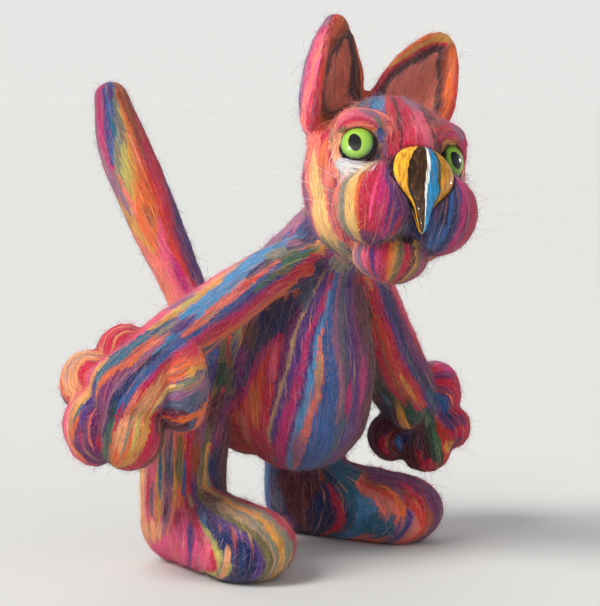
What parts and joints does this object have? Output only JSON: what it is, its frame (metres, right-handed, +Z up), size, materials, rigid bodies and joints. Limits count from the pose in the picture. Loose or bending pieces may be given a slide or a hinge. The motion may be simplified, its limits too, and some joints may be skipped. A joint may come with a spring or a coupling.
{
  "type": "felted cat figurine",
  "caption": "Needle-felted wool cat that stands on its hind feet with arms spread, head turned and tail raised; it has glass eyes, a painted nose and clear whiskers.",
  "frame": {"origin": "middle of the standing box at floor level, between the soles", "axes": "+Z up; the cat's chest faces -Y, its own left side is +X and its tail points to +Y"},
  "size_m": [0.1942, 0.2116, 0.2163],
  "materials": {
    "wool": "needle-felted wool in streaks of crimson, pink, orange, ochre, blue, green and violet, with a fine fuzz",
    "eye_glass": "polished glass over a green iris with an oval black pupil",
    "nose_lacquer": "painted bands of ochre, dark brown, white and azure under gloss lacquer",
    "whisker_nylon": "clear nylon thread"
  },
  "bodies": {
    "root": {"felt_body": "wool", "right_eye": "eye_glass", "left_eye": "eye_glass", "nose": "nose_lacquer", "right_whisker_1": "whisker_nylon", "right_whisker_2": "whisker_nylon", "right_whisker_3": "whisker_nylon", "left_whisker_1": "whisker_nylon", "left_whisker_2": "whisker_nylon", "left_whisker_3": "whisker_nylon"}
  },
  "joints": []
}
